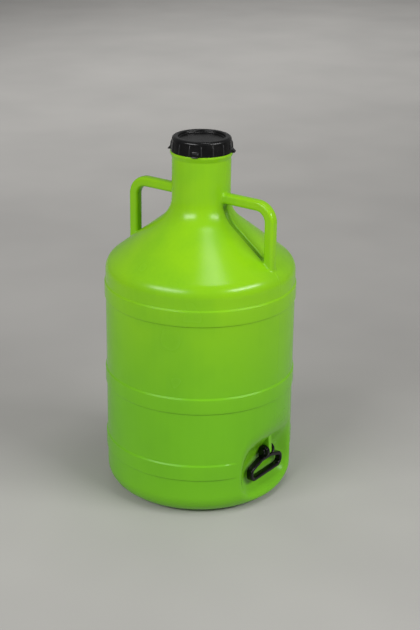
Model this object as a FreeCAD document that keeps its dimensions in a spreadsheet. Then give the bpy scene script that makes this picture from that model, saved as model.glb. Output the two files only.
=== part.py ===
import FreeCAD, Part
import math
import os
import re

import Sketcher
from FreeCAD import Placement, Rotation, Vector

doc = FreeCAD.newDocument("plastic_drum")
sheet = doc.addObject("Spreadsheet::Sheet", "dims")
aliases = []
cuts = []
TOUCH = 0.01  # closer than this counts as on the same surface

# A blow-moulded drum on its base, in millimetres, with +Z up through the axis.
# The origin is the middle of the base. The tipping handle faces -Y and the two
# carrying handles lie in the YZ plane, where the halves of the mould meet.
SIZES = {
    # Drum wall and base
    "hoop_radius": 150.0,  # largest radius, over the raised hoops
    "hoop_rise": 1.8,
    "hoop_height": 26.6,
    "hoop_rounding": 1.3,
    "hoop_low": 75.8,  # middle of the lowest hoop above the floor
    "hoop_middle": 188.1,
    "hoop_drop": 42.9,  # middle of the highest hoop below the shoulder
    "wall": 2.5,
    "base_rounding": 32.0,
    "base_arch": 5.0,  # lift of the middle of the base off the floor
    "foot_width": 24.2,  # flat ring that the drum stands on
    "arch_slope": 9.0,
    "seam_margin": 18.0,  # from the ends of the pinched seam to the arch's edge
    "seam_width": 2.4,
    "seam_rise": 1.2,
    # Shoulder and neck
    "shoulder_height": 373.0,  # where the wall and the cone would meet
    "shoulder_slope": 37.8,  # degrees above the horizontal
    "shoulder_rounding": 27.0,
    "neck_radius": 45.2,
    "neck_rounding": 46.0,
    "neck_length": 88.1,  # from where cone and neck would meet up to the bead
    "bead_reach": 2.8,  # ring that the cap closes down to, past the neck
    "bead_height": 6.2,
    "bead_rounding": 1.6,
    "finish_inset": 2.2,  # the neck is slimmer inside the cap
    "finish_height": 18.3,
    "finish_wall": 4.8,
    "lip_rounding": 0.8,
    # Carrying handles
    "grip_width": 16.0,
    "grip_rounding": 5.0,
    "arm_drop": 60.8,  # middle of a handle's arm below the bead
    "bar_inset": 19.8,  # middle of the upright bar inside the drum's wall
    "bend_radius": 24.0,
    "seat_rounding": 3.0,  # where a handle grows out of the drum
    "pinch_width": 9.0,  # channel pressed into the shoulder below a handle
    "pinch_depth": 1.3,
    "pinch_margin": 5.0,  # left between the channel and the handle
    # Recess and lug of the tipping handle
    "recess_depth": 28.7,  # from the drum's wall to the flat back
    "recess_half_width": 57.0,
    "recess_low": 31.0,
    "recess_height": 52.0,
    "recess_corner": 18.0,
    "recess_draft": 33.0,  # degrees that the sides and the floor open outwards
    "roof_slope": 53.7,  # degrees above the horizontal
    "recess_rounding": 9.0,
    "mouth_rounding": 7.0,
    "ear_room": 0.6,  # between the ears and the roof of the recess
    "lug_width": 8.0,
    "lug_nose": 7.8,
    "lug_lean": 8.0,  # degrees that the outer edge leans back
    "lug_rounding": 1.5,
    # Tipping handle, measured from its pivot, and the pin
    "handle_half_width": 44.0,
    "handle_drop": 42.4,
    "handle_corner": 13.0,
    "shoulder_drop": 19.5,
    "shoulder_corner": 12.0,
    "crown_drop": 9.8,
    "crown_half_width": 13.0,
    "crown_corner": 6.0,
    "handle_band": 6.3,  # thickness of the band round the finger gap
    "handle_depth": 11.0,
    "handle_rounding": 2.4,
    "handle_room": 4.0,  # between the band and the back of the recess
    "ear_radius": 9.5,
    "ear_width": 5.6,
    "ear_clearance": 0.4,
    "ear_rounding": 1.2,
    "stem_half_width": 5.0,
    "pin_radius": 3.0,
    "pin_running": 0.1,  # radial room in the lug
    "pin_seating": 0.02,  # radial room in the ears
    "pin_head_radius": 5.4,
    "pin_head_height": 2.6,
    "pin_head_rounding": 2.3,
    "pin_tail_radius": 4.2,
    "pin_tail_height": 1.4,
    # Screw cap and its gasket
    "cap_height": 22.4,
    "cap_clearance": 0.3,
    "skirt_low": 3.6,  # thickness of the skirt at its lower edge
    "skirt_high": 1.6,
    "cap_rounding": 2.6,
    "cap_skin": 2.5,
    "plug_wall": 2.2,  # ring that hangs inside the neck, round the sunk disc
    "dish_depth": 4.5,
    "dish_rounding": 1.2,
    "rib_count": 16,
    "rib_width": 2.2,
    "rib_rise": 1.1,
    "rib_margin": 1.5,
    "rib_rounding": 0.6,
    "wing_count": 4,  # spanner wings on the lower edge
    "wing_reach": 5.0,
    "wing_height": 7.0,
    "wing_lip": 1.4,
    "wing_width": 10.0,
    "cap_turn": 24.0,  # degrees from +X to the first wing
    "gasket_thickness": 2.0,
}

# Sizes that follow from those above
DERIVED = {
    "wall_radius": "hoop_radius - hoop_rise",
    "foot_radius": "wall_radius - base_rounding - foot_width",
    "seam_length": "2 * (foot_radius - arch_slope - seam_margin)",
    "hoop_high": "shoulder_height - hoop_drop",
    "cone_rise": "tan(shoulder_slope)",
    "cone_top": "shoulder_height + (wall_radius - neck_radius) * cone_rise",
    "cone_lift": "wall * (1 / cos(shoulder_slope) - cone_rise)",
    "bead_radius": "neck_radius + bead_reach",
    "bead_low": "cone_top + neck_length",
    "bead_top": "bead_low + bead_height",
    "finish_radius": "neck_radius - finish_inset",
    "neck_bore": "finish_radius - finish_wall",
    "lip_height": "bead_top + finish_height",
    "arm_height": "bead_low - arm_drop",
    "arm_low": "arm_height - grip_width / 2",
    "arm_start": "neck_radius - wall",
    "bar_radius": "wall_radius - bar_inset",
    "bar_inner": "bar_radius - grip_width / 2",
    "bar_foot": "shoulder_height + bar_inset * cone_rise - 2 * grip_width",
    "pinch_top": "arm_low - pinch_margin",
    "pinch_end": "bar_inner - pinch_margin",
    "recess_back": "wall_radius - recess_depth",
    "recess_high": "recess_low + recess_height",
    "recess_spread": "tan(recess_draft)",
    "recess_lining": "wall / cos(recess_draft)",
    "roof_rise": "tan(roof_slope)",
    "roof_lining": "wall / cos(roof_slope)",
    "recess_front": "hoop_radius + 3 * wall",
    "hoop_gap": "asin(recess_half_width / recess_back)",
    "pivot_radius": "recess_back + (ear_radius + ear_room) / sin(roof_slope)",
    "pivot_height": "recess_high",
    "lug_top": "recess_high + (pivot_radius + lug_nose - recess_back) * roof_rise",
    "ear_inner": "lug_width / 2 + ear_clearance",
    "ear_outer": "ear_inner + ear_width",
    "handle_setback": "pivot_radius - recess_back - handle_room - handle_depth / 2",
    "crown_fall": "(shoulder_drop - crown_drop) / (handle_half_width - crown_half_width)",
    "crown_stretch": "sqrt(1 + crown_fall ^ 2)",
    "cap_low": "bead_top + cap_clearance",
    "cap_top": "cap_low + cap_height",
    "cap_bore": "finish_radius + cap_clearance",
    "cap_low_radius": "cap_bore + skirt_low",
    "cap_high_radius": "cap_bore + skirt_high",
    "cap_lean": "(cap_low_radius - cap_high_radius) / cap_height",
    "plug_radius": "neck_bore - cap_clearance",
    "dish_radius": "plug_radius - plug_wall",
    "disc_low": "cap_top - dish_depth - cap_skin",
    "gasket_high": "lip_height + gasket_thickness",
}


def write_sheet():
    texts = {name: repr(number) for name, number in SIZES.items()}
    texts.update({name: "=" + text for name, text in DERIVED.items()})
    for row, (name, text) in enumerate(texts.items(), start=1):
        sheet.set(f"A{row}", name)
        sheet.set(f"B{row}", text)
        sheet.setAlias(f"B{row}", name)
        aliases.append(name)
    doc.recompute()


def formula(text):
    """Turns names of sizes into names that any object of the document can read."""
    return re.sub(r"[a-z_]+", lambda word: f"dims.{word[0]}" if word[0] in aliases else word[0], str(text))


def number(text):
    return float(sheet.evalExpression(formula(text).replace("dims.", "")))


def bind(thing, **texts):
    for name, text in texts.items():
        thing.setExpression(name, formula(text))


def new_body(name):
    body = doc.addObject("PartDesign::Body", name)
    body.Label = name
    return body


def datum(body, role):
    return next(item for item in body.Origin.OriginFeatures if item.Role == role)


def new_sketch(body, name, plane, offset="0", spin="0"):
    """A sketch on an origin plane, moved along its normal or spun about its upright axis."""
    sketch = body.newObject("Sketcher::SketchObject", name)
    sketch.AttachmentSupport = [(datum(body, plane), "")]
    sketch.MapMode = "FlatFace"
    turned = Rotation(Vector(0, 1, 0), number(spin))
    sketch.AttachmentOffset = Placement(Vector(0, 0, number(offset)), turned)
    bind(sketch, **{"AttachmentOffset.Base.z": offset})
    return sketch


def pin_down(sketch, element, point, across, up):
    """Holds a point of the sketch at a place that the sheet gives."""
    for kind, axis, text in (("DistanceX", -2, across), ("DistanceY", -1, up)):
        distance = number(text)
        if abs(distance) < 1e-9:
            sketch.addConstraint(Sketcher.Constraint("PointOnObject", element, point, axis))
            continue
        ends = (-1, 1, element, point) if distance > 0 else (element, point, -1, 1)
        index = sketch.addConstraint(Sketcher.Constraint(kind, *ends, abs(distance)))
        signed = formula(text) if distance > 0 else f"-({formula(text)})"
        sketch.setExpression(f"Constraints[{index}]", signed)


def draw(sketch, corners, closed=True):
    """Lines through the corners, each (across, up) or (across, up, rounding)."""
    count = len(corners)
    places = [Vector(number(c[0]), number(c[1]), 0) for c in corners]
    leaving = list(places)
    arriving = list(places)
    arcs = {}
    for i, corner in enumerate(corners):
        if len(corner) < 3:
            continue
        radius = number(corner[2])
        back = (places[i - 1] - places[i]).normalize()
        ahead = (places[(i + 1) % count] - places[i]).normalize()
        half = back.getAngle(ahead) / 2
        arriving[i] = places[i] + back * (radius / math.tan(half))
        leaving[i] = places[i] + ahead * (radius / math.tan(half))
        centre = places[i] + (back + ahead).normalize() * (radius / math.sin(half))
        left_turn = back.cross(ahead).z < 0
        first, last = (arriving[i], leaving[i]) if left_turn else (leaving[i], arriving[i])
        angles = [math.atan2((end - centre).y, (end - centre).x) for end in (first, last)]
        if angles[1] < angles[0]:
            angles[1] += 2 * math.pi
        circle = Part.Circle(centre, Vector(0, 0, 1), radius)
        arcs[i] = (sketch.addGeometry(Part.ArcOfCircle(circle, *angles)), 1 if left_turn else 2)
    spans = range(count if closed else count - 1)
    lines = {i: sketch.addGeometry(Part.LineSegment(leaving[i], arriving[(i + 1) % count])) for i in spans}
    for i, corner in enumerate(corners):
        before = lines.get((i - 1) % count if closed else i - 1)
        after = lines.get(i)
        if i in arcs:
            arc, arc_start = arcs[i]
            sketch.addConstraint(Sketcher.Constraint("Tangent", before, 2, arc, arc_start))
            sketch.addConstraint(Sketcher.Constraint("Tangent", arc, 3 - arc_start, after, 1))
            index = sketch.addConstraint(Sketcher.Constraint("Radius", arc, number(corner[2])))
            sketch.setExpression(f"Constraints[{index}]", formula(corner[2]))
            mark = sketch.addGeometry(Part.Point(places[i]), True)
            sketch.addConstraint(Sketcher.Constraint("PointOnObject", mark, 1, before))
            sketch.addConstraint(Sketcher.Constraint("PointOnObject", mark, 1, after))
            pin_down(sketch, mark, 1, *corner[:2])
            continue
        if before is not None and after is not None:
            sketch.addConstraint(Sketcher.Constraint("Coincident", before, 2, after, 1))
        element, point = (after, 1) if after is not None else (before, 2)
        pin_down(sketch, element, point, *corner)
    return sketch


def draw_circle(sketch, across, up, radius):
    circle = Part.Circle(Vector(number(across), number(up), 0), Vector(0, 0, 1), number(radius))
    element = sketch.addGeometry(circle)
    pin_down(sketch, element, 3, across, up)
    index = sketch.addConstraint(Sketcher.Constraint("Radius", element, number(radius)))
    sketch.setExpression(f"Constraints[{index}]", formula(radius))


def revolve(body, sketch, axis="V_Axis", angle="360deg"):
    turned = body.newObject("PartDesign::Revolution", sketch.Name + "_turned")
    turned.Profile = sketch
    turned.ReferenceAxis = (sketch, [axis])
    bind(turned, Angle=angle)
    turned.Midplane = True
    return turned


def pad(body, sketch, length, centred=True):
    raised = body.newObject("PartDesign::Pad", sketch.Name + "_pad")
    raised.Profile = sketch
    bind(raised, Length=length)
    raised.Midplane = centred
    return raised


def sweep(body, section, route, kind="AdditivePipe"):
    swept = body.newObject("PartDesign::" + kind, section.Name + "_swept")
    swept.Profile = section
    swept.Spine = (route, [])
    if kind == "SubtractivePipe":
        cuts.append(swept)
    return swept


def loft(body, first, last):
    cut = body.newObject("PartDesign::SubtractiveLoft", first.Name + "_cut")
    cut.Profile = first
    cut.Sections = [last]
    cut.Ruled = True
    cuts.append(cut)
    return cut


def repeat(body, features, count):
    pattern = body.newObject("PartDesign::PolarPattern", features[0].Name + "_repeated")
    pattern.Originals = features
    pattern.Axis = (datum(body, "Z_Axis"), [""])
    pattern.Angle = 360
    bind(pattern, Occurrences=count)
    body.Tip = pattern
    return pattern


def mirror(body, features, plane):
    pair = body.newObject("PartDesign::Mirrored", features[0].Name + "_pair")
    pair.Originals = features
    pair.MirrorPlane = (datum(body, plane), [""])
    body.Tip = pair
    return pair


def round_edges(body, radius, wanted):
    """Rounds the edges of the body's last feature that the test wants."""
    doc.recompute()
    base = body.Tip
    names = [f"Edge{i}" for i, edge in enumerate(base.Shape.Edges, start=1) if wanted(edge)]
    rounded = body.newObject("PartDesign::Fillet", f"{base.Name}_rounded")
    rounded.Base = (base, names)
    bind(rounded, Radius=radius)
    return rounded


def grip_route(body, name, inner, low):
    """Middle line of a carrying handle, from the neck out, round the bend and down."""
    sketch = new_sketch(body, name, "YZ_Plane")
    corners = [(inner, "arm_height"), ("bar_radius", "arm_height", "bend_radius"), ("bar_radius", low)]
    return draw(sketch, corners, closed=False)


def grip_section(body, name, start, inset):
    """Rounded square across the start of a carrying handle's route."""
    half = f"(grip_width / 2 - {inset})"
    rounding = f"(grip_rounding - {inset})"
    sketch = new_sketch(body, name, "XZ_Plane", f"-({start})")
    sides = ((-1, -1), (1, -1), (1, 1), (-1, 1))
    return draw(sketch, [(f"{x} * {half}", f"arm_height + {z} * {half}", rounding) for x, z in sides])


def recess_outline(body, name, distance, lining, roof_lining):
    """Rounded window of the recess at a distance from the drum's axis."""
    growth = f"(({distance} - recess_back) * recess_spread + {lining})"
    side = f"(recess_half_width + {growth})"
    low = f"recess_low - {growth}"
    high = f"recess_high + ({distance} - recess_back) * roof_rise + {roof_lining}"
    rounding = f"recess_corner + {growth}"
    sketch = new_sketch(body, name, "XZ_Plane", distance)
    window = ((f"-{side}", low), (side, low), (side, high), (f"-{side}", high))
    return draw(sketch, [(x, z, rounding) for x, z in window])


def lies_on(surface, edge):
    """Whether an edge lies on a surface, judged at its ends and middle."""
    span = (edge.FirstParameter, edge.LastParameter)
    points = [edge.valueAt(span[0] + (span[1] - span[0]) * share) for share in (0, 0.5, 1)]
    return all(Part.Vertex(point).distToShape(surface)[0] < TOUCH for point in points)


def runs_round_axis(edge):
    """Whether an edge is an arc about the drum's own axis."""
    if edge.Curve.TypeId != "Part::GeomCircle":
        return False
    centre = edge.Curve.Center
    return math.hypot(centre.x, centre.y) < TOUCH and abs(edge.Curve.Axis.z) > 1 - TOUCH


def drum_outside():
    """The solid that the outer skin of the drum encloses."""
    body = new_body("drum_outside")
    form = draw(new_sketch(body, "outer_form", "XZ_Plane"), [
        ("0", "base_arch"),
        ("foot_radius - arch_slope", "base_arch"),
        ("foot_radius", "0"),
        ("wall_radius", "0", "base_rounding"),
        ("wall_radius", "shoulder_height", "shoulder_rounding"),
        ("neck_radius", "cone_top", "neck_rounding"),
        ("neck_radius", "bead_low", "bead_rounding"),
        ("bead_radius", "bead_low + bead_radius - neck_radius", "bead_rounding"),
        ("bead_radius", "bead_top", "bead_rounding / 2"),
        ("finish_radius", "bead_top"),
        ("finish_radius", "lip_height", "lip_rounding"),
        ("0", "lip_height"),
    ])
    plain = revolve(body, form)

    # Flat-backed recess for the tipping handle, with softened edges
    back = recess_outline(body, "recess_back_outline", "recess_back", "0", "0")
    front = recess_outline(body, "recess_front_outline", "recess_front", "0", "0")
    loft(body, back, front)

    def bounds_back(edge):
        box = edge.BoundBox
        return abs(box.YMin + number("recess_back")) < TOUCH and box.YLength < TOUCH

    def bounds_mouth(edge):
        low = edge.BoundBox.YMax < 0 and edge.BoundBox.ZMax < number("hoop_middle")
        return low and not runs_round_axis(edge) and lies_on(plain.Shape.Shells[0], edge)

    round_edges(body, "recess_rounding", bounds_back)
    round_edges(body, "mouth_rounding", bounds_mouth)

    # Three raised hoops, of which the lowest stops short of the recess
    for level in ("low", "middle", "high"):
        middle = f"hoop_{level}"
        ring = draw(new_sketch(body, f"{middle}_section", "YZ_Plane"), [
            ("wall_radius - wall / 2", f"{middle} - hoop_height / 2"),
            ("hoop_radius", f"{middle} - hoop_height / 2", "hoop_rounding"),
            ("hoop_radius", f"{middle} + hoop_height / 2", "hoop_rounding"),
            ("wall_radius - wall / 2", f"{middle} + hoop_height / 2"),
        ])
        revolve(body, ring, angle="360deg - 2 * hoop_gap" if level == "low" else "360deg")

    # Two carrying handles, blown in one with the drum
    route = grip_route(body, "grip_route", "arm_start", "bar_foot")
    section = grip_section(body, "grip_section", "arm_start", "0")
    repeat(body, [sweep(body, section, route)], "2")

    def bounds_grip(edge):
        box = edge.BoundBox
        high = box.ZMin > number("hoop_high") and abs(box.Center.y) > number("neck_radius") / 2
        near = high and max(box.XMax, -box.XMin) < number("grip_width")
        return near and not runs_round_axis(edge) and lies_on(plain.Shape.Shells[0], edge)

    round_edges(body, "seat_rounding", bounds_grip)

    # Channel that the closed mould pinches into the shoulder below each handle
    route = draw(new_sketch(body, "pinch_route", "YZ_Plane"), [
        ("neck_radius", "pinch_top"),
        ("neck_radius", "cone_top", "neck_rounding"),
        ("pinch_end", "shoulder_height + (wall_radius - pinch_end) * cone_rise"),
    ], closed=False)
    section = draw(new_sketch(body, "pinch_section", "XY_Plane", "pinch_top"), [
        (f"{x} * pinch_width / 2", f"neck_radius + {y} * pinch_depth", "pinch_depth / 2")
        for x, y in ((-1, -1), (1, -1), (1, 1), (-1, 1))
    ])
    repeat(body, [sweep(body, section, route, "SubtractivePipe")], "2")

    # Lug for the tipping handle: its nose is round about the pivot
    nose_foot = "pivot_radius + lug_nose * (1 + sin(lug_lean)) / cos(lug_lean)"
    nose_head = "pivot_radius + (lug_nose - (lug_top - pivot_height) * sin(lug_lean)) / cos(lug_lean)"
    sketch = draw(new_sketch(body, "lug_outline", "YZ_Plane"), [
        ("wall / 2 - recess_back", "pivot_height - lug_nose"),
        ("wall / 2 - recess_back", "lug_top"),
        (f"-({nose_head})", "lug_top"),
        (f"-({nose_foot})", "pivot_height - lug_nose", "lug_nose"),
    ])
    draw_circle(sketch, "-pivot_radius", "pivot_height", "pin_radius + pin_running")
    pad(body, sketch, "lug_width")

    def bounds_nose(edge):
        if edge.Curve.TypeId != "Part::GeomCircle":
            return False
        return abs(edge.Curve.Radius - number("lug_nose")) < TOUCH and abs(edge.Curve.Axis.x) > 1 - TOUCH

    round_edges(body, "lug_rounding", bounds_nose)

    # Seam left across the base by the pinched end of the tube of plastic
    sketch = draw(new_sketch(body, "seam_outline", "XY_Plane", "base_arch - seam_rise"), [
        (f"{x} * seam_width / 2", f"{y} * seam_length / 2")
        for x, y in ((-1, -1), (1, -1), (1, 1), (-1, 1))
    ])
    pad(body, sketch, "seam_rise + wall / 2", centred=False)
    return body


def drum_inside():
    """The hollow of the drum, one wall inside its skin."""
    body = new_body("drum_inside")
    form = draw(new_sketch(body, "inner_form", "XZ_Plane"), [
        ("0", "base_arch + wall"),
        ("foot_radius - arch_slope", "base_arch + wall"),
        ("foot_radius", "wall"),
        ("wall_radius - wall", "wall", "base_rounding - wall"),
        ("wall_radius - wall", "shoulder_height - cone_lift", "shoulder_rounding - wall"),
        ("neck_radius - wall", "cone_top - cone_lift", "neck_rounding + wall"),
        ("neck_radius - wall", "bead_low - wall"),
        ("neck_bore", "bead_low + neck_radius - wall - neck_bore"),
        ("neck_bore", "lip_height + wall"),
        ("0", "lip_height + wall"),
    ])
    revolve(body, form)
    linings = ("recess_lining", "roof_lining")
    back = recess_outline(body, "lining_back_outline", "(recess_back - wall)", *linings)
    front = recess_outline(body, "lining_front_outline", "recess_front", *linings)
    loft(body, back, front)
    route = grip_route(body, "channel_route", "(neck_radius - 3 * wall)", "bar_foot - wall")
    section = grip_section(body, "channel_section", "(neck_radius - 3 * wall)", "wall")
    repeat(body, [sweep(body, section, route)], "2")
    return body


def drum_body():
    outside = drum_outside()
    inside = drum_inside()
    drum = doc.addObject("Part::Cut", "drum_body")
    drum.Base = outside
    drum.Tool = inside
    return drum


def screw_cap():
    """Cap with a dished top, finger ribs and four spanner wings, hollow for the neck."""
    body = new_body("screw_cap")
    form = draw(new_sketch(body, "cap_form", "XZ_Plane"), [
        ("0", "cap_top - dish_depth"),
        ("dish_radius", "cap_top - dish_depth", "dish_rounding"),
        ("dish_radius", "cap_top", "dish_rounding"),
        ("cap_high_radius", "cap_top", "cap_rounding"),
        ("cap_low_radius", "cap_low"),
        ("cap_bore", "cap_low"),
        ("cap_bore", "gasket_high"),
        ("plug_radius", "gasket_high"),
        ("plug_radius", "disc_low"),
        ("0", "disc_low"),
    ])
    revolve(body, form)

    # Finger ribs that lean with the skirt
    low = "cap_low + rib_margin"
    high = "cap_top - cap_rounding - rib_margin"
    skirt_low = f"cap_low_radius - ({low} - cap_low) * cap_lean"
    skirt_high = f"cap_low_radius - ({high} - cap_low) * cap_lean"
    sketch = draw(new_sketch(body, "rib_outline", "XZ_Plane"), [
        (f"{skirt_low} - rib_rise", low),
        (f"{skirt_low} + rib_rise", low, "rib_rounding"),
        (f"{skirt_high} + rib_rise", high, "rib_rounding"),
        (f"{skirt_high} - rib_rise", high),
    ])
    repeat(body, [pad(body, sketch, "rib_width")], "rib_count")

    # Wedge-shaped wings, halfway between two ribs
    sketch = new_sketch(body, "wing_outline", "XZ_Plane", spin="180 / rib_count")
    draw(sketch, [
        ("cap_low_radius - rib_rise", "cap_low"),
        ("cap_low_radius + wing_reach", "cap_low", "rib_rounding"),
        ("cap_low_radius + wing_reach", "cap_low + wing_lip", "rib_rounding"),
        ("cap_low_radius - wing_height * cap_lean", "cap_low + wing_height"),
        ("cap_low_radius - wing_height * cap_lean - rib_rise", "cap_low + wing_height"),
    ])
    repeat(body, [pad(body, sketch, "wing_width")], "wing_count")
    turn = number("cap_turn - 180 / rib_count")
    body.Placement = Placement(Vector(0, 0, 0), Rotation(Vector(0, 0, 1), turn))
    return body


def cap_gasket():
    """Flat ring between the lip of the neck and the cap."""
    body = new_body("cap_gasket")
    sketch = draw(new_sketch(body, "gasket_section", "XZ_Plane"), [
        ("plug_radius + cap_clearance", "lip_height"),
        ("cap_bore - cap_clearance", "lip_height"),
        ("cap_bore - cap_clearance", "gasket_high"),
        ("plug_radius + cap_clearance", "gasket_high"),
    ])
    revolve(body, sketch)
    return body


def tipping_handle():
    """Flat band round a finger gap, with two ears that straddle the lug."""
    body = new_body("tipping_handle")
    half, drop, fall = "handle_half_width", "handle_drop", "crown_fall"
    right = [
        (half, f"-{drop}", "handle_corner"),
        (half, "-shoulder_drop", "shoulder_corner"),
        ("crown_half_width", "-crown_drop", "crown_corner"),
    ]
    band_drop = f"shoulder_drop - handle_band * ({fall} - crown_stretch)"
    gap_crown = f"crown_half_width - handle_band * (crown_stretch - 1) / {fall}"
    gap = [
        (f"{half} - handle_band", f"handle_band - {drop}", "handle_corner - handle_band"),
        (f"{half} - handle_band", f"-({band_drop})", "shoulder_corner - handle_band"),
        (gap_crown, "-crown_drop - handle_band", "crown_corner"),
    ]
    sketch = new_sketch(body, "band_outline", "XZ_Plane", "-handle_setback")
    for side in (right, gap):
        draw(sketch, side + [(f"-({x})", z, rounding) for x, z, rounding in reversed(side)])
    pad(body, sketch, "handle_depth")

    def bounds_face(edge):
        box = edge.BoundBox
        depth = abs(box.YMin - number("handle_setback"))
        return box.YLength < TOUCH and abs(depth - number("handle_depth") / 2) < TOUCH

    round_edges(body, "handle_rounding", bounds_face)

    # Round ears with the pin hole, each on a short stem
    sketch = new_sketch(body, "ear_outline", "YZ_Plane", "ear_inner")
    draw_circle(sketch, "0", "0", "ear_radius")
    draw_circle(sketch, "0", "0", "pin_radius + pin_seating")
    ear = pad(body, sketch, "ear_width", centred=False)
    sketch = draw(new_sketch(body, "stem_outline", "YZ_Plane", "ear_inner"), [
        ("handle_setback - stem_half_width", "-crown_drop - handle_band / 2"),
        ("handle_setback + stem_half_width", "-crown_drop - handle_band / 2"),
        ("handle_setback + stem_half_width", "-ear_radius / 2"),
        ("handle_setback - stem_half_width", "-ear_radius / 2"),
    ])
    stem = pad(body, sketch, "ear_width", centred=False)
    mirror(body, [ear, stem], "YZ_Plane")

    def bounds_ear(edge):
        box = edge.BoundBox
        outer = box.XLength < TOUCH and abs(abs(box.XMin) - number("ear_outer")) < TOUCH
        return outer and box.ZMax > number("ear_radius") - TOUCH

    round_edges(body, "ear_rounding", bounds_ear)
    body.Placement = pivot_placement()
    return body


def hinge_pin():
    """Pin through the lug and both ears, with a domed head and a closed tail."""
    body = new_body("hinge_pin")
    sketch = draw(new_sketch(body, "pin_section", "XZ_Plane"), [
        ("-ear_outer - pin_head_height", "0"),
        ("ear_outer + pin_tail_height", "0"),
        ("ear_outer + pin_tail_height", "pin_tail_radius", "pin_tail_height / 2"),
        ("ear_outer", "pin_tail_radius"),
        ("ear_outer", "pin_radius"),
        ("-ear_outer", "pin_radius"),
        ("-ear_outer", "pin_head_radius"),
        ("-ear_outer - pin_head_height", "pin_head_radius", "pin_head_rounding"),
    ])
    revolve(body, sketch, axis="H_Axis")
    body.Placement = pivot_placement()
    return body


def pivot_placement():
    return Placement(Vector(0, -number("pivot_radius"), number("pivot_height")), Rotation())


def check(pieces):
    """Stops if any object failed, or any piece isn't one valid solid."""
    doc.recompute()
    failed = [thing.Name for thing in doc.Objects if {"Invalid", "Error"} & set(thing.State)]
    poor = [piece.Label for piece in pieces if piece.Shape.isNull() or not piece.Shape.isValid()]
    loose = [piece.Label for piece in pieces if len(piece.Shape.Solids) != 1]
    if failed or poor or loose:
        raise RuntimeError(f"failed {failed}, not valid {poor}, not one solid {loose}")
    blind = [cut.Name for cut in cuts if cut.Shape.Volume > cut.BaseFeature.Shape.Volume - 1]
    if blind:
        raise RuntimeError(f"these cuts remove nothing: {blind}")


write_sheet()
parts = [drum_body(), screw_cap(), cap_gasket(), tipping_handle(), hinge_pin()]
check(parts)
os.makedirs("parts", exist_ok=True)
for part in parts:
    part.Shape.exportStep(f"parts/{part.Label}.step")
    print(part.Label, round(part.Shape.Volume / 1000, 2), "cm3")
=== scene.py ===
import math

import bpy
import numpy as np
from mathutils import Matrix, Vector


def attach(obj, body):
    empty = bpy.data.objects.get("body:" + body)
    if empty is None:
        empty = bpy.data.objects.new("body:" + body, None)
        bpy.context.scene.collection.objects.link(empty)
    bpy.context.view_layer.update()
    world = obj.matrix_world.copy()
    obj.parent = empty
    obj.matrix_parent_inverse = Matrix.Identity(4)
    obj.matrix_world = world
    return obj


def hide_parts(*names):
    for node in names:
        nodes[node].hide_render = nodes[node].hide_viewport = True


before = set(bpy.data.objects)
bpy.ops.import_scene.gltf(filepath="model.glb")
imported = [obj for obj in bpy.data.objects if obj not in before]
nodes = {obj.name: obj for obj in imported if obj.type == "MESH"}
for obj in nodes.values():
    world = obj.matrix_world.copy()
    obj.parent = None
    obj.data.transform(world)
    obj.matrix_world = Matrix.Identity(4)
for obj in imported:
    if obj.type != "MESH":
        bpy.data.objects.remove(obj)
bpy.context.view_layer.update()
mm = 0.001
print("frame loaded:", sorted(nodes))


# Sizes below are millimetres and degrees, but for the stage and the camera, which are in metres.

def linearColour(code):  # sRGB hex to the linear values that sockets take
    channels = [int(code[i:i + 2], 16) / 255 for i in (1, 3, 5)]
    return [c / 12.92 if c <= 0.04045 else ((c + 0.055) / 1.055) ** 2.4 for c in channels] + [1.0]


def addNode(tree, kind, props=None, values=None, links=None):  # a node with its settings and what feeds it
    made = tree.nodes.new(kind)
    for key, value in (props or {}).items():
        setattr(made, key, value)
    for key, value in (values or {}).items():
        made.inputs[key].default_value = value
    for key, source in (links or {}).items():
        tree.links.new(source, made.inputs[key])
    return made


def newMaterial(name):  # a material with its node tree, its shader and the socket of object coordinates
    material = bpy.data.materials.new(name)
    material.use_nodes = True
    tree = material.node_tree
    return material, tree, tree.nodes["Principled BSDF"], addNode(tree, "ShaderNodeTexCoord").outputs["Object"]


def linkShader(tree, shader, **sockets):  # Base_Color=socket feeds the input Base Color
    for name, source in sockets.items():
        tree.links.new(source, shader.inputs[name.replace("_", " ")])


def addNoise(tree, place, size, detail):  # size is that of the pattern's clouds, in millimetres
    return addNode(tree, "ShaderNodeTexNoise", values={"Scale": 1000 / size, "Detail": detail},
                   links={"Vector": place}).outputs["Fac"]


def addRange(tree, source, low, high, toLow=0.0, toHigh=1.0, kind="LINEAR"):  # low to high becomes toLow to toHigh
    return addNode(tree, "ShaderNodeMapRange", {"interpolation_type": kind},
                   {1: low, 2: high, 3: toLow, 4: toHigh}, {0: source}).outputs[0]


def addMath(tree, operation, *sources):
    return addNode(tree, "ShaderNodeMath", {"operation": operation}, links=dict(enumerate(sources))).outputs[0]


def mixColour(tree, share, first, second):  # each end is an sRGB hex code or a socket
    ends = {6: first, 7: second}
    codes = {key: linearColour(end) for key, end in ends.items() if isinstance(end, str)}
    sockets = {key: end for key, end in ends.items() if key not in codes}
    return addNode(tree, "ShaderNodeMix", {"data_type": "RGBA"}, codes, {0: share, **sockets}).outputs[2]


def addBump(tree, height, strength, depth, **under):  # depth in millimetres; Normal=socket is the bump below it
    return addNode(tree, "ShaderNodeBump", values={"Strength": strength, "Distance": depth * mm},
                   links={"Height": height, **under}).outputs["Normal"]


def ease(t):  # 0 to 1 with level ends
    t = np.clip(t, 0.0, 1.0)
    return t * t * (3 - 2 * t)


def softMax(a, b, reach):  # the larger of two heights, blended where they are within reach of each other
    return np.maximum(a, b) + np.maximum(reach - np.abs(a - b), 0.0) ** 2 / (4 * reach)


def softMin(a, b, reach):
    return -softMax(-a, -b, reach)


def curve(t, start, corner, end):  # the quadratic curve that leaves start and reaches end towards the corner
    return (1 - t) ** 2 * start + 2 * t * (1 - t) * corner + t ** 2 * end


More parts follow.
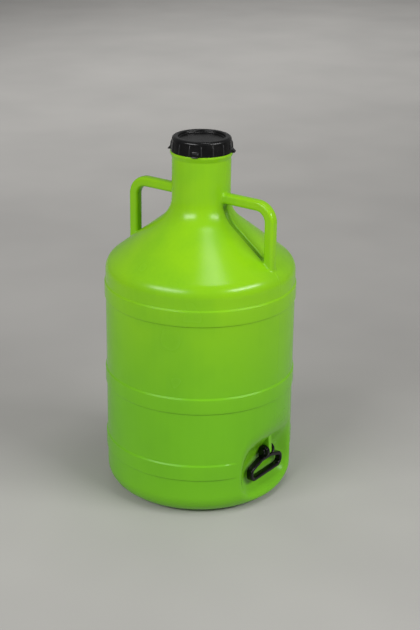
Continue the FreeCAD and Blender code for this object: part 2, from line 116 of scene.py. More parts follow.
# A line through corners (across, up, radius): straight runs cut into steps, and at each corner an arc that
# touches both runs, found by turning evenly from one touching point to the other about the arc's middle.
def roundedLine(corners, step, turns=7, closed=False):
    count = len(corners)
    place = np.array([corner[:2] for corner in corners], float)
    radius = [corner[2] if len(corner) > 2 else 0.0 for corner in corners]
    parts = []
    for k in range(count):
        end = not closed and k in (0, count - 1)
        if end or radius[k] == 0:
            parts.append(place[k:k + 1])
            continue
        before = place[k - 1] - place[k]
        after = place[(k + 1) % count] - place[k]
        before /= np.hypot(*before)
        after /= np.hypot(*after)
        half = math.acos(np.clip(before @ after, -1, 1)) / 2
        reach = radius[k] / math.tan(half)
        middle = place[k] + (before + after) / np.hypot(*(before + after)) * radius[k] / math.sin(half)
        sweep = math.pi - 2 * half
        t = np.linspace(0, 1, turns + 1)[:, None]
        first, last = place[k] + before * reach - middle, place[k] + after * reach - middle
        parts.append(middle + (first * np.sin((1 - t) * sweep) + last * np.sin(t * sweep)) / math.sin(sweep))
    line = np.vstack(parts + ([parts[0][:1]] if closed else []))
    run = np.diff(line, axis=0)
    length = np.hypot(run[:, 0], run[:, 1])
    apart = length > 1e-6  # runs that two touching arcs leave empty are dropped
    line, run, length = line[:-1][apart], run[apart], length[apart]
    pieces = np.maximum(1, np.ceil(length / step)).astype(int)
    share = (np.arange(pieces.sum()) - np.repeat(np.cumsum(pieces) - pieces, pieces)) / np.repeat(pieces, pieces)
    points = np.repeat(line, pieces, axis=0) + share[:, None] * np.repeat(run, pieces, axis=0)
    return points if closed else np.vstack([points, place[-1]])


# One piece from a grid of points: every cell becomes a face, a row can close on itself, and a pole is one
# point joined to the first or last row. The faces are turned outwards by the sign of the enclosed volume.
def makePiece(name, grid, material, body, poles=(False, False), closeRows=False, sharp=50):
    rows, columns = grid.shape[:2]
    ring, beside = np.arange(columns), (np.arange(columns) + 1) % columns
    row = np.arange(rows if closeRows else rows - 1)[:, None] * columns
    above = (row + columns) % (rows * columns)
    quads = np.stack([row + ring, row + beside, above + beside, above + ring], -1).reshape(-1, 4)
    points = grid.reshape(-1, 3)
    fans = []
    if poles[0]:
        points = np.vstack([points, grid[0].mean(axis=0)])
        fans.append(np.stack([np.full(columns, len(points) - 1), beside, ring], -1))
    if poles[1]:
        points = np.vstack([points, grid[-1].mean(axis=0)])
        base = (rows - 1) * columns
        fans.append(np.stack([ring + base, beside + base, np.full(columns, len(points) - 1)], -1))
    threes = np.vstack([quads[:, [0, 1, 2]], quads[:, [0, 2, 3]], *fans])
    a, b, c = (points[threes[:, n]] for n in range(3))
    if np.einsum("ij,ij->i", a, np.cross(b, c)).sum() < 0:
        quads, fans = quads[:, ::-1], [fan[:, ::-1] for fan in fans]
    mesh = bpy.data.meshes.new(name)
    mesh.from_pydata((points * mm).tolist(), [], quads.tolist() + [face for fan in fans for face in fan.tolist()])
    mesh.materials.append(material)
    mesh.shade_smooth()
    mesh.set_sharp_from_angle(angle=math.radians(sharp))
    made = bpy.data.objects.new(name, mesh)
    bpy.context.scene.collection.objects.link(made)
    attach(made, body)
    print(name, "triangles:", len(threes))
    return made


patches = dict(low=0.3, high=0.7, glossier=0.04, duller=0.05)


def patchyRoughness(tree, noise, roughness):  # a little glossier and duller from patch to patch
    return addRange(tree, noise, patches["low"], patches["high"],
                    roughness - patches["glossier"], roughness + patches["duller"])


# The channel that the mould pinches into the shoulder below each carrying handle, and the painted shade along it.
channel = dict(half=4.5, depth=2.2, edge=2.0, top=467.2, bottom=398.4, fade=3.0,
               paintedShade="#3F7A14", share=0.5, sideBlend=0.6, fadeOut=2.0, fadeIn=1.0,
               lighterMiddleFrom=0.4, lighterMiddleTo=2.2, lighterMiddleShare=0.5)


# Blow-moulded high-density polyethylene: a waxy satin green. The wall is painted lighter and yellower towards the
# neck, a painted light from above, and its tone drifts a little elsewhere. Its die leaves
# faint upright lines, and the blasted mould a fine orange peel. In the channel under a carrying handle the green
# is painted deeper, a painted shadow of the handle's arm, and less so along the middle.
def makePolyethylene(name, shadedChannel=False):
    look = dict(low="#70B91B", high="#8CC710", thick="#62A81C", paintedLightFrom=120.0, paintedLightTo=460.0,
                drift=90.0, dieLine=6.0, dieTall=0.03, dieShare=0.15, thickFrom=0.45, thickTo=0.7, thickShare=0.35,
                peel=2.2, peelStrength=0.10, peelDepth=0.4, waveStrength=0.03, waveDepth=0.6,
                roughness=0.225, ior=1.5, specular=0.3)
    material, tree, shader, place = newMaterial(name)
    drift = addNoise(tree, place, look["drift"], 2.0)
    tall = addNode(tree, "ShaderNodeMapping", values={"Scale": (1.0, 1.0, look["dieTall"])}, links={"Vector": place})
    lines = addNoise(tree, tall.outputs["Vector"], look["dieLine"], 3.0)
    parts = addNode(tree, "ShaderNodeSeparateXYZ", links={"Vector": place}).outputs
    # painted light from above: the wall's colour goes from low to high, lighter and yellower towards the neck
    paintedLight = addRange(tree, parts["Z"], look["paintedLightFrom"] * mm, look["paintedLightTo"] * mm, kind="SMOOTHSTEP")
    wall = mixColour(tree, paintedLight, look["low"], look["high"])
    streaks = addNode(tree, "ShaderNodeMix", {"data_type": "FLOAT"}, {0: look["dieShare"]}, {2: drift, 3: lines})
    thick = addRange(tree, streaks.outputs[0], look["thickFrom"], look["thickTo"], toHigh=look["thickShare"])
    colour = mixColour(tree, thick, wall, look["thick"])
    # Painted shade in the channel: the arm of the carrying handle above shades it, so its green is painted deeper,
    # half as much along the middle.
    if shadedChannel:
        c = channel
        aside = addMath(tree, "ABSOLUTE", parts["X"])
        inside = addRange(tree, aside, (c["half"] + c["sideBlend"]) * mm, (c["half"] - c["sideBlend"]) * mm,
                          toHigh=c["share"])
        over = addRange(tree, parts["Z"], (c["bottom"] - c["fadeOut"]) * mm, (c["bottom"] + c["fadeIn"]) * mm)
        under = addRange(tree, parts["Z"], (c["top"] + c["fadeOut"]) * mm, (c["top"] - c["fadeIn"]) * mm)
        lighterMiddle = addRange(tree, aside, c["lighterMiddleFrom"] * mm, c["lighterMiddleTo"] * mm, toLow=c["lighterMiddleShare"])
        within = addMath(tree, "MULTIPLY", inside, addMath(tree, "MULTIPLY", over, under))
        colour = mixColour(tree, addMath(tree, "MULTIPLY", within, lighterMiddle), colour, c["paintedShade"])
    peel = addBump(tree, addNoise(tree, place, look["peel"], 2.0), look["peelStrength"], look["peelDepth"])
    wave = addBump(tree, lines, look["waveStrength"], look["waveDepth"], Normal=peel)
    shader.inputs["IOR"].default_value = look["ior"]
    shader.inputs["Specular IOR Level"].default_value = look["specular"]
    linkShader(tree, shader, Base_Color=colour, Roughness=patchyRoughness(tree, drift, look["roughness"]), Normal=wave)
    return material


# Injection-moulded polypropylene: near black, glossier than the drum, with a fine spark-eroded grain. On a cap
# the crests of its ribs are painted paler and matt: crest is the radius of the skirt at its
# foot, how much it loses per unit of height, and the height of the foot.
def makePolypropylene(name, roughness, specular=0.33, crest=None):
    look = dict(black="#050505", grey="#0B0B0C", cloud=14.0, grain=0.9, grainStrength=0.03, grainDepth=0.2, ior=1.49,
                paleCrest="#3A3A3C", matt=0.5, crestShare=0.45, crestFrom=0.5, crestTo=1.1, wingFrom=1.5, wingTo=1.9)
    material, tree, shader, place = newMaterial(name)
    cloud = addNoise(tree, place, look["cloud"], 4.0)
    colour = mixColour(tree, cloud, look["black"], look["grey"])
    rough = patchyRoughness(tree, cloud, roughness)
    if crest:
        footRadius, taper, foot = crest
        parts = addNode(tree, "ShaderNodeSeparateXYZ", links={"Vector": place}).outputs
        flat = addNode(tree, "ShaderNodeCombineXYZ", links={"X": parts["X"], "Y": parts["Y"]}).outputs["Vector"]
        radius = addNode(tree, "ShaderNodeVectorMath", {"operation": "LENGTH"}, links={0: flat}).outputs["Value"]
        risen = addNode(tree, "ShaderNodeMath", {"operation": "MULTIPLY_ADD"},
                        {1: taper, 2: -(footRadius + taper * foot) * mm}, {0: parts["Z"]}).outputs[0]
        past = addMath(tree, "ADD", radius, risen)
        # the rib crests of the skirt are painted paler and given a matt roughness, but not the wings
        over = addRange(tree, past, look["crestFrom"] * mm, look["crestTo"] * mm, toHigh=look["crestShare"])
        under = addRange(tree, past, look["wingTo"] * mm, look["wingFrom"] * mm)
        crestMask = addMath(tree, "MULTIPLY", over, under)
        colour = mixColour(tree, crestMask, colour, look["paleCrest"])
        rough = addNode(tree, "ShaderNodeMix", {"data_type": "FLOAT"}, {3: look["matt"]},
                        {0: crestMask, 2: rough}).outputs[0]
    grain = addBump(tree, addNoise(tree, place, look["grain"], 2.0), look["grainStrength"], look["grainDepth"])
    shader.inputs["IOR"].default_value = look["ior"]
    shader.inputs["Specular IOR Level"].default_value = specular
    linkShader(tree, shader, Base_Color=colour, Roughness=rough, Normal=grain)
    return material


# Stamped nitrile rubber sheet: matt grey with a fine felt-like tooth.
def makeRubber(name):
    look = dict(dark="#7C7A77", grey="#8E8C88", roughness=0.75, tooth=0.6, toothStrength=0.3, toothDepth=0.2)
    material, tree, shader, place = newMaterial(name)
    tooth = addNoise(tree, place, look["tooth"], 3.0)
    shader.inputs["Roughness"].default_value = look["roughness"]
    linkShader(tree, shader, Base_Color=mixColour(tree, tooth, look["dark"], look["grey"]),
               Normal=addBump(tree, tooth, look["toothStrength"], look["toothDepth"]))
    return material


polyethylene = makePolyethylene("blowMouldedPolyethylene")
channelShadedPolyethylene = makePolyethylene("channelShadedPolyethylene", shadedChannel=True)
polypropylene = makePolypropylene("injectionMouldedPolypropylene", 0.14, specular=0.26)
rubber = makeRubber("stampedNitrileRubber")
for node, finish in (("cap_gasket", rubber), ("tipping_handle", polypropylene), ("hinge_pin", polypropylene)):
    nodes[node].data.materials.clear()
    nodes[node].data.materials.append(finish)
print("finishes made")


# The drum's shell, inside and out.
shell = dict(
    wallRadius=148.2, wall=2.5, baseRounding=32.0, baseArch=5.0, footRadius=92.0, footRounding=3.0,
    archSlope=9.0, archRounding=6.0, poleRadius=3.0,
    shoulderHeight=373.0, shoulderSlope=37.8, shoulderRounding=27.0,
    neckRadius=45.2, neckRounding=46.0, coneTop=452.895,
    beadLow=540.995, beadRadius=48.0, beadTop=547.195, beadRounding=1.6, beadSpread=3.0,
    finishRoot=41.2, finishBore=38.2, finishRounding=0.5, lipHeight=565.495, lipRounding=0.8,
    boreEnd=3.0, boreStart=5.0,
    hoopRise=1.78, hoopHalf=13.6, hoopOver=2.7, hoopUnder=2.0, hoopLevels=(75.8, 188.1, 330.1),
    hoopGap=28.0, hoopFade=12.0,
    seamRise=0.3, seamHalf=0.9, seamLow=36.0, seamShort=2.0,
)
recess = dict(back=119.5, half=57.0, low=31.0, high=83.0, draft=33.0, roof=53.7,
              highCorner=40.0, lowCorner=50.0, backEdge=10.0, mouthEdge=14.0,
              zoneReach=100.0, zoneLow=3.0, zoneHigh=150.0)
spacing = dict(foot=9.0, footTurns=16, footEnd=33.0, wall=10.0, wallEnd=359.5, margin=0.5, closest=0.35,
               recess=2.0, recessLow=34.0, recessHigh=127.0, hoopRows=7, hoopPast=0.1,
               top=5.5, topTurns=9, inner=9.0, innerTurns=5,
               lanes=(0, 0.45, 0.9, 2.2, 3.3, 3.7, 4.1, 4.5, 4.9, 5.4, 6.4), leastRadius=44.0,
               front=0.6, frontEnd=32, middleColumns=46, backEnd=22, backColumns=14)


# How far out the recess reaches, over (across, up): its flat back and three planes that lean outwards from
# it, each as a height over the middle plane, joined by soft maxima. skin moves them inwards by the wall.
def recessReach(x, z, skin):
    draft, roof = math.radians(recess["draft"]), math.radians(recess["roof"])
    side = recess["back"] + (np.abs(x) - recess["half"] - skin / math.cos(draft)) / math.tan(draft)
    low = recess["back"] + (recess["low"] - z - skin / math.cos(draft)) / math.tan(draft)
    high = recess["back"] + (z - recess["high"] - skin / math.cos(roof)) / math.tan(roof)
    rim = softMax(softMax(side, high, recess["highCorner"]), low, recess["lowCorner"])
    return softMax(rim, recess["back"] - skin, recess["backEdge"])


# Half sections of the outer skin: the foot, the wall and everything above. The wall's rows are closer at the
# recess and on both edges of each hoop.
def outerLines():
    s, g = shell, spacing
    foot = roundedLine([(s["poleRadius"], s["baseArch"]),
                        (s["footRadius"] - s["archSlope"], s["baseArch"], s["archRounding"]),
                        (s["footRadius"], 0, s["footRounding"]), (s["wallRadius"], 0, s["baseRounding"]),
                        (s["wallRadius"], g["footEnd"])], g["foot"], turns=g["footTurns"])
    edges = np.linspace(-g["hoopPast"], 1 + g["hoopPast"], g["hoopRows"])
    turns = np.concatenate([edges * s["hoopUnder"] - s["hoopHalf"], s["hoopHalf"] - edges * s["hoopOver"]])
    rise = np.concatenate([np.arange(g["footEnd"], g["wallEnd"], g["wall"]),
                           np.arange(g["recessLow"], g["recessHigh"], g["recess"]),
                           (np.array(s["hoopLevels"])[:, None] + turns).ravel()])
    rise = np.unique(np.round(rise, 2))
    between = (rise > g["footEnd"] + g["margin"]) & (rise < g["wallEnd"] - g["margin"])
    rise = rise[between & np.append(np.diff(rise) > g["closest"], True)]
    wall = np.stack([np.full(len(rise), s["wallRadius"]), rise], -1)
    top = roundedLine([(s["wallRadius"], g["wallEnd"]), (s["wallRadius"], s["shoulderHeight"], s["shoulderRounding"]),
                       (s["neckRadius"], s["coneTop"], s["neckRounding"]),
                       (s["neckRadius"], s["beadLow"] - s["beadSpread"], s["beadRounding"] * 3),
                       (s["beadRadius"], s["beadTop"] - s["beadSpread"], s["beadRounding"]),
                       (s["beadRadius"], s["beadTop"], s["beadRounding"] / 2),
                       (s["finishRoot"], s["beadTop"], s["finishRounding"]),
                       (s["finishRoot"], s["lipHeight"], s["lipRounding"]),
                       (s["finishBore"], s["lipHeight"], s["lipRounding"]),
                       (s["finishBore"], s["lipHeight"] - s["boreEnd"])], g["top"], turns=g["topTurns"])
    return foot, wall, top


def innerLine():  # half section of the hollow, from the bore down to the middle of the base
    s, g = shell, spacing
    slope = math.radians(s["shoulderSlope"])
    lift = s["wall"] * (1 / math.cos(slope) - math.tan(slope))
    neck, wall = s["neckRadius"] - s["wall"], s["wallRadius"] - s["wall"]
    return roundedLine([(s["finishBore"], s["lipHeight"] - s["boreStart"]),
                        (s["finishBore"], s["beadLow"] + neck - s["finishBore"]), (neck, s["beadLow"] - s["wall"]),
                        (neck, s["coneTop"] - lift, s["neckRounding"] + s["wall"]),
                        (wall, s["shoulderHeight"] - lift, s["shoulderRounding"] - s["wall"]),
                        (wall, s["wall"], s["baseRounding"] - s["wall"]), (s["footRadius"], s["wall"]),
                        (s["footRadius"] - s["archSlope"], s["baseArch"] + s["wall"]),
                        (s["poleRadius"], s["baseArch"] + s["wall"])], g["inner"], turns=g["innerTurns"])


# Angles of the columns from -Y, for each row's radius. Near the parting line the columns keep their distance
# from it in millimetres, so the channel's edges run along them; past it they spread to their usual angles.
def columnAngles(radius):
    g = spacing
    lanes = np.array(g["lanes"])
    lane = np.degrees(np.arcsin(lanes / np.maximum(radius, g["leastRadius"])[:, None]))
    usual = math.degrees(lanes[-1] / shell["wallRadius"])
    start = lane[:, -1:]

    def spread(angles, end):
        return start + (angles - usual) * (end - start) / (end - usual)

    front = spread(np.arange(usual, g["frontEnd"], g["front"])[1:], g["frontEnd"])
    middle = np.linspace(g["frontEnd"], 180 - g["backEnd"], g["middleColumns"])
    middle = np.broadcast_to(middle, (len(radius), len(middle)))
    back = 180 - spread(np.linspace(usual, g["backEnd"], g["backColumns"])[1:-1], g["backEnd"])
    half = np.concatenate([lane, front, middle, back[:, ::-1], 180 - lane[:, ::-1]], axis=1)
    return np.radians(np.concatenate([half, 360 - half[:, -2:0:-1]], axis=1))


# The shell: a half section turned about the axis, moved out over the hoops and the parting line, in along the
# channel, and inside the recess pulled back to the recess's own reach. The lowest hoop fades out at the recess.
# The last three rows of the outer line run down the bore and count as the inside.
def makeShell():
    s, c = shell, channel
    foot, wall, top = outerLines()
    line = np.vstack([foot, wall, top, innerLine()])
    outer = np.arange(len(line))[:, None] < len(foot) + len(wall) + len(top) - 3
    tangent = np.gradient(line, axis=0)
    normal = np.stack([tangent[:, 1], -tangent[:, 0]], -1) / np.hypot(tangent[:, 0], tangent[:, 1])[:, None]
    turn = columnAngles(line[:, 0])
    radius, z = (np.repeat(line[:, n:n + 1], turn.shape[1], axis=1) for n in (0, 1))
    x = radius * np.sin(turn)
    fromFront = np.degrees(np.minimum(turn, 2 * math.pi - turn))
    push = np.zeros_like(radius)
    for level in s["hoopLevels"]:
        band = ease((s["hoopHalf"] - np.abs(z - level)) / np.where(z > level, s["hoopOver"], s["hoopUnder"]))
        gap = ease((fromFront - s["hoopGap"]) / s["hoopFade"]) if level == s["hoopLevels"][0] else 1.0
        push += s["hoopRise"] * band * gap
    standing = (z > s["seamLow"]) & (z < s["beadLow"] - s["seamShort"]) & outer
    push = np.maximum(push, np.where(standing, s["seamRise"] * ease(1 - np.abs(x) / s["seamHalf"]), 0))
    along = ease((c["top"] - z) / c["fade"] + 0.5) * ease((z - c["bottom"]) / c["fade"] + 0.5)
    across = ease((c["half"] + c["edge"] / 2 - np.abs(x)) / c["edge"])
    push *= outer
    push -= c["depth"] * along * across * np.where(outer, 1, -1)
    radius = radius + push * normal[:, 0:1]
    z = z + push * normal[:, 1:2]
    x, y = radius * np.sin(turn), -radius * np.cos(turn)
    reach = recessReach(x, z, np.where(outer, 0.0, s["wall"]))
    near = (y < -recess["zoneReach"]) & (z < recess["zoneHigh"]) & (z > recess["zoneLow"])
    y = np.where(near, -softMin(-y, reach, recess["mouthEdge"]), y)
    return makePiece("drumShell", np.stack([x, y, z], -1), channelShadedPolyethylene, "drum",
                     poles=(True, True))


drumShell = makeShell()
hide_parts("drum_body")


grip = dict(width=16.0, rounding=5.0, arm=480.195, bar=128.4, bend=24.0, fillet=3.6, filletRows=8,
            seamRise=0.35, seamHalf=1.0, faceEdge=0.1, armStart=8.0, barEnd=18.0, buried=1.3,
            ringStep=0.9, routeStep=7.0, bendTurns=18)


# A carrying handle: a rounded square carried along the route, with the parting line on its inner and outer
# faces. Each end opens out to the shell by a curved strip: a point on the handle, the corner where its side
# would meet the shell, and a point on the shell, joined by a quadratic curve. Both ends close inside the wall.
def makeGrip(name, side):
    g, half = grip, grip["width"] / 2
    corners = (-half, -half), (half, -half), (half, half), (-half, half)
    ring = roundedLine([corner + (g["rounding"],) for corner in corners], g["ringStep"], closed=True)
    direction = np.gradient(np.vstack([ring[-1], ring, ring[0]]), axis=0)[1:-1]
    out = np.stack([direction[:, 1], -direction[:, 0]], -1) / np.hypot(direction[:, 0], direction[:, 1])[:, None]
    face = np.abs(ring[:, 1]) > half - g["faceEdge"]
    ring[:, 1] += np.sign(ring[:, 1]) * g["seamRise"] * ease(1 - np.abs(ring[:, 0]) / g["seamHalf"]) * face
    top = outerLines()[2]
    upper = top[: np.argmax(top[:, 1] > shell["beadLow"] - shell["beadSpread"])]

    def neckAt(x, z):  # distance from the middle plane to the neck's surface
        return np.sqrt(np.interp(z, upper[:, 1], upper[:, 0]) ** 2 - x ** 2)

    def coneAt(x, q):  # height of the shoulder
        return np.interp(-np.hypot(x, q), -upper[:, 0], upper[:, 1])

    t = np.linspace(0, 1, g["filletRows"])[:, None, None]
    wide = ring + out * g["fillet"]
    x, wideX = ring[:, 0], wide[:, 0]
    z, wideZ = g["arm"] + ring[:, 1], g["arm"] + wide[:, 1]
    low, wideLow = neckAt(x, z), neckAt(wideX, wideZ)
    armEnd = curve(t, np.stack([wideX, wideLow, wideZ], -1), np.stack([x, low, z], -1),
                   np.stack([x, low + g["fillet"], z], -1))
    armRoot = np.stack([wideX, wideLow - g["buried"], wideZ], -1)[None]

    route = roundedLine([(low.max() + g["armStart"], g["arm"]), (g["bar"], g["arm"], g["bend"]),
                         (g["bar"], coneAt(0, g["bar"]) + g["barEnd"])], g["routeStep"], turns=g["bendTurns"])
    run = np.gradient(route, axis=0)
    run /= np.hypot(run[:, 0], run[:, 1])[:, None]
    up = np.stack([-run[:, 1], run[:, 0]], -1)
    middle = np.stack([np.broadcast_to(x, (len(route), len(ring))), route[:, :1] + up[:, :1] * ring[:, 1],
                       route[:, 1:] + up[:, 1:] * ring[:, 1]], -1)

    q, wideQ = g["bar"] + ring[:, 1], g["bar"] + wide[:, 1]
    high, wideHigh = coneAt(x, q), coneAt(wideX, wideQ)
    barEnd = curve(t, np.stack([x, q, high + g["fillet"]], -1), np.stack([x, q, high], -1),
                   np.stack([wideX, wideQ, wideHigh], -1))
    barRoot = np.stack([wideX, wideQ, wideHigh - g["buried"]], -1)[None]
    grid = np.concatenate([armRoot, armEnd, middle, barEnd, barRoot]) * np.array([side, -side, 1.0])
    makePiece(name, grid, polyethylene, "drum", poles=(True, True))


makeGrip("carryingHandleFront", 1)
makeGrip("carryingHandleBack", -1)


lug = dict(pivot=(132.0321, 83.0), half=4.0, nose=7.8, hole=3.1, lean=4.0, head=110.0, rounding=1.5,
           root=1.2, headRoot=1.5, tail=1.5, step=1.2, noseTurns=14, edgeRows=6, rings=(0.4, 0.8))


# The lug that carries the tipping handle is a ring about the pivot: at each angle a section runs from the hole
# out to the outline, round the edge and back. The outline has a round nose, an outer edge that leans back, and
# its root inside the wall.
def makeLug():
    q, z = lug["pivot"]
    lean, roof = math.radians(lug["lean"]), math.tan(math.radians(recess["roof"]))
    head, root = lug["head"], recess["back"] - lug["root"]
    noseFoot = q + lug["nose"] * (1 + math.sin(lean)) / math.cos(lean)
    noseHead = q + (lug["nose"] - (head - z) * math.sin(lean)) / math.cos(lean)
    outline = roundedLine([(root, z - lug["nose"]), (noseFoot, z - lug["nose"], lug["nose"]), (noseHead, head),
                           (recess["back"] + (head - z) / roof - lug["headRoot"], head), (root, z + lug["tail"])],
                          lug["step"], turns=lug["noseTurns"], closed=True)
    ray = outline - np.array([q, z])
    length = np.hypot(ray[:, 0], ray[:, 1])[:, None]
    ray = ray / length
    e, h = lug["rounding"], lug["half"]
    bend = np.linspace(0, math.pi / 2, lug["edgeRows"])
    edge = [(1, -e + e * math.sin(b), h - e + e * math.cos(b)) for b in bend]
    flat = [(ring, 0, h) for ring in lug["rings"]]
    reach = [(0, 0, -h), (0, 0, h)] + flat + edge
    reach += [(share, inset, -across) for share, inset, across in edge[::-1] + flat[::-1]]
    share, inset, across = (np.array(column) for column in zip(*reach))
    distance = lug["hole"] + share * (length - lug["hole"]) + inset
    grid = np.stack([np.broadcast_to(across, distance.shape), -(q + ray[:, :1] * distance),
                     z + ray[:, 1:] * distance], -1)
    makePiece("tippingLug", grid, polyethylene, "drum", closeRows=True)


makeLug()


baseSeam = dict(half=1.2, rise=1.2, sunk=1.2, length=130.0, rows=60, arc=12, fade=4.0, least=0.05)


def makeBaseSeam():  # a half-round bead carried along Y, its height easing to nothing at both ends
    b = baseSeam
    along = np.linspace(-0.5, 0.5, b["rows"])[:, None] * b["length"]
    around = np.linspace(0, math.pi, b["arc"])
    fade = ease((b["length"] / 2 - np.abs(along)) / b["fade"] + b["least"])
    section = np.stack([np.cos(around) * b["half"], np.sin(around) * b["rise"]], -1)
    section = np.vstack([section, [[-b["half"], -b["sunk"]], [b["half"], -b["sunk"]]]])
    x, y = np.broadcast_arrays(section[:, 0], along)
    grid = np.stack([x, y, shell["baseArch"] - section[:, 1] * fade], -1)
    makePiece("baseSeam", grid, polyethylene, "drum", poles=(True, True))


makeBaseSeam()

thread = dict(pitch=6.0, width=2.4, rowsPerTurn=90, fade=25.0, least=0.02,
              tooth=((-0.5, -1.0), (0.15, -0.9), (0.85, -0.5), (1, -0.3),
                     (1, 0.3), (0.85, 0.5), (0.15, 0.9), (-0.5, 1.0)))
neckThread = dict(root=41.2, crest=43.0, start=551.2, turns=1.6)
capThread = dict(root=43.3, crest=41.5, start=554.2, turns=1.4)


# A thread: a blunt tooth carried up a right-hand helix, angle and height rising together, and fading at its ends.
def makeThread(name, path, material, body):
    root, crest, turns = path["root"], path["crest"], path["turns"]
    share = np.linspace(0, 1, int(turns * thread["rowsPerTurn"]))[:, None]
    angle = share * turns * 2 * math.pi
    fade = ease(np.minimum(share, 1 - share) * turns * 360 / thread["fade"] + thread["least"])
    out, up = np.array(thread["tooth"]).T
    depth = np.where(out < 0, out * math.copysign(1, crest - root), (crest - root) * out * fade)
    height = path["start"] + share * turns * thread["pitch"] + up * thread["width"] / 2
    grid = np.stack([(root + depth) * np.cos(angle), (root + depth) * np.sin(angle), height], -1)
    makePiece(name, grid, material, body, poles=(True, True))


makeThread("neckThread", neckThread, polyethylene, "drum")


cap = dict(low=547.495, top=569.895, lowRadius=46.9, highRadius=44.9, bore=43.3, roof=567.495, plug=37.9,
           discLow=562.895, poleRadius=1.5, dishRadius=35.7, dishFloor=565.395, dishRounding=2.0, rounding=4.6,
           ribs=16, ribHalf=1.7, ribRise=1.4, ribMargin=1.0, ribFoot=1.2, ribTop=4.5, ribFade=6.0,
           wings=4, wingReach=5.0, wingHeight=7.0, wingLip=1.4, wingWidth=10.0, wingEdge=0.6, wingPast=0.2,
           turn=24.0, skirtEdge=0.1, step=1.3, turns=6, roughness=0.26,
           columns=(0.35, 0.6, 0.85, 1.1, 1.4, 2.0, 3.0, 3.6, 3.9, 4.2, 4.6, 6.2, 7.6))


# The cap: its half section turned about the axis. On the skirt the radius grows by the ribs, a soft-edged
# bump every sector, and by the wings, wedges whose reach falls with height.
def makeCap():
    c = cap
    taper = (c["lowRadius"] - c["highRadius"]) / (c["top"] - c["low"])
    ribbed = makePolypropylene("crestedPolypropylene", c["roughness"], crest=(c["lowRadius"], taper, c["low"]))
    line = roundedLine([(c["poleRadius"], c["dishFloor"]), (c["dishRadius"], c["dishFloor"], c["dishRounding"]),
                        (c["dishRadius"], c["top"], c["dishRounding"]), (c["highRadius"], c["top"], c["rounding"]),
                        (c["lowRadius"], c["low"]), (c["bore"], c["low"]), (c["bore"], c["roof"]),
                        (c["plug"], c["roof"]), (c["plug"], c["discLow"]), (c["poleRadius"], c["discLow"])],
                       c["step"], turns=c["turns"])
    middle = (c["lowRadius"] + c["highRadius"]) / 2
    sector = 2 * math.pi * middle / c["ribs"]
    columns = np.array(c["columns"])
    offsets = np.concatenate([-columns[::-1], [0], columns, [sector / 2]])
    arc = (np.arange(c["ribs"])[:, None] * sector + offsets).ravel()
    toRib = np.abs((arc + sector / 2) % sector - sector / 2)
    toWing = np.abs(arc % (sector * c["ribs"] / c["wings"]) - sector / 2)
    turn = arc / middle + math.radians(c["turn"]) - math.pi / c["ribs"]
    rib = ease((c["ribHalf"] - toRib) / c["ribHalf"])
    wing = ease((c["wingWidth"] / 2 + c["wingPast"] - toWing) / c["wingEdge"])
    radius, z = line[:, :1], line[:, 1:]
    skirt = (radius > c["highRadius"] - c["rounding"]) & (z < c["roof"]) & (radius > c["bore"] + c["skirtEdge"])
    ribUp = ease((z - c["low"] - c["ribMargin"]) / c["ribFoot"]) * ease((c["top"] - c["ribTop"] - z) / c["ribFade"])
    wingUp = np.clip((c["wingHeight"] - (z - c["low"])) / (c["wingHeight"] - c["wingLip"]), 0, 1)
    grown = radius + skirt * np.maximum(c["ribRise"] * ribUp * rib, c["wingReach"] * wingUp * wing)
    grid = np.stack([grown * np.cos(turn), grown * np.sin(turn), np.broadcast_to(z, grown.shape)], -1)
    return makePiece("screwCap", grid, ribbed, "cap", poles=(True, True))


screwCap = makeCap()
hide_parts("screw_cap")
makeThread("capThread", capThread, polypropylene, "cap")


# The stage is in metres, but for the floor's mottle. A lamp's turn about the drum is measured from the camera;
# without an aim it shines straight down.
stage = dict(floor="#A7A5A2", mottled="#B9B7B3", mottle=1000 / 3, roughness=0.9, half=14.0,
             world="#FFFFFF", worldStrength=0.24)
lamps = dict(
    softboxLeft=dict(turn=-42.0, away=2.5, up=1.8, size=(1.9, 0.6), power=49.0, aim=(0, 0, 0.3)),
    softboxRight=dict(turn=57.0, away=2.5, up=1.8, size=(1.9, 0.6), power=49.0, aim=(0, 0, 0.3)),
    softboxHigh=dict(turn=48.0, away=0.56, up=2.65, size=(0.65, 0.65), power=7.6, aim=(0, 0, 0.3)),
    softboxBack=dict(turn=180.0, away=3.4, up=3.0, size=(4.0, 2.0), power=22.0, beam=80.0),
)
lens = dict(place=(-1.6816, -1.2218, 1.0920), facing=54.0, pitch=0.37254, yaw=-0.007487, roll=0.012182,
            focal=80.7, sensor=36.0)


def makeFloor():
    material, tree, shader, place = newMaterial("paintedStudioFloor")  # even matt paint with the faintest mottle
    mottle = addNoise(tree, place, stage["mottle"], 2.0)
    shader.inputs["Roughness"].default_value = stage["roughness"]
    linkShader(tree, shader, Base_Color=mixColour(tree, mottle, stage["floor"], stage["mottled"]))
    half = stage["half"]
    mesh = bpy.data.meshes.new("studioFloor")
    mesh.from_pydata([(-half, -half, 0), (half, -half, 0), (half, half, 0), (-half, half, 0)], [], [(0, 1, 2, 3)])
    mesh.materials.append(material)
    floor = bpy.data.objects.new("studioFloor", mesh)
    bpy.context.scene.collection.objects.link(floor)


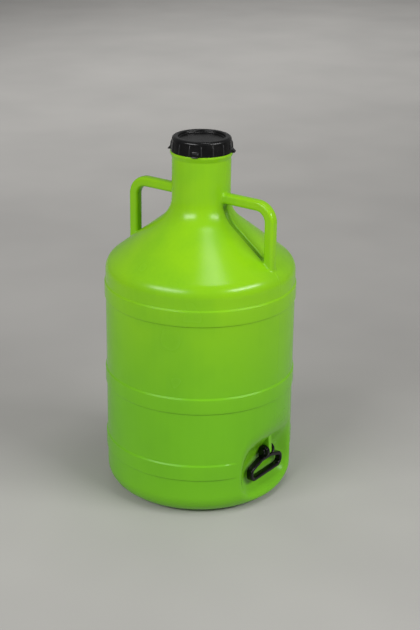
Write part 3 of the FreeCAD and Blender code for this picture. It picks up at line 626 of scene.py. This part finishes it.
def makeSoftbox(name, turn, away, up, size, power, aim=None, beam=180.0):
    angle = math.atan2(lens["place"][1], lens["place"][0]) + math.radians(turn)
    place = Vector((away * math.cos(angle), away * math.sin(angle), up))
    lamp = bpy.data.lights.new(name, "AREA")
    lamp.shape = "RECTANGLE"
    lamp.size, lamp.size_y = size
    lamp.energy = power
    lamp.spread = math.radians(beam)
    made = bpy.data.objects.new(name, lamp)
    made.location = place
    if aim:
        made.rotation_euler = (Vector(aim) - place).to_track_quat("-Z", "Y").to_euler()
    bpy.context.scene.collection.objects.link(made)


# The camera's axes from its pitch, yaw and roll, then turned about Z to face the drum as the photograph does.
def makeCamera():
    data = bpy.data.cameras.new("camera")
    data.lens = lens["focal"]
    data.sensor_width = lens["sensor"]
    turn = math.radians(lens["facing"])

    def toDrum(x, y, z):
        return Vector((x * math.cos(turn) + y * math.sin(turn), -x * math.sin(turn) + y * math.cos(turn), z))

    yaw, pitch, roll = lens["yaw"], lens["pitch"], lens["roll"]
    level = Vector((math.cos(yaw), math.sin(yaw), 0))
    forward = Vector((-math.sin(yaw) * math.cos(pitch), math.cos(yaw) * math.cos(pitch), -math.sin(pitch)))
    up = Vector((-math.sin(yaw) * math.sin(pitch), math.cos(yaw) * math.sin(pitch), math.cos(pitch)))
    right = math.cos(roll) * level + math.sin(roll) * up
    over = -math.sin(roll) * level + math.cos(roll) * up
    axes = [toDrum(*axis) for axis in (right, over, -forward)]
    camera = bpy.data.objects.new("camera", data)
    camera.matrix_world = Matrix.Translation(lens["place"]) @ Matrix(axes).transposed().to_4x4()
    bpy.context.scene.collection.objects.link(camera)
    bpy.context.scene.camera = camera


makeFloor()
for name, lamp in lamps.items():
    makeSoftbox(name, **lamp)
world = bpy.data.worlds.new("studio")
world.use_nodes = True
background = world.node_tree.nodes["Background"].inputs
background["Color"].default_value = linearColour(stage["world"])
background["Strength"].default_value = stage["worldStrength"]
bpy.context.scene.world = world
bpy.context.scene.view_settings.view_transform = "Standard"
makeCamera()
print("stage set")
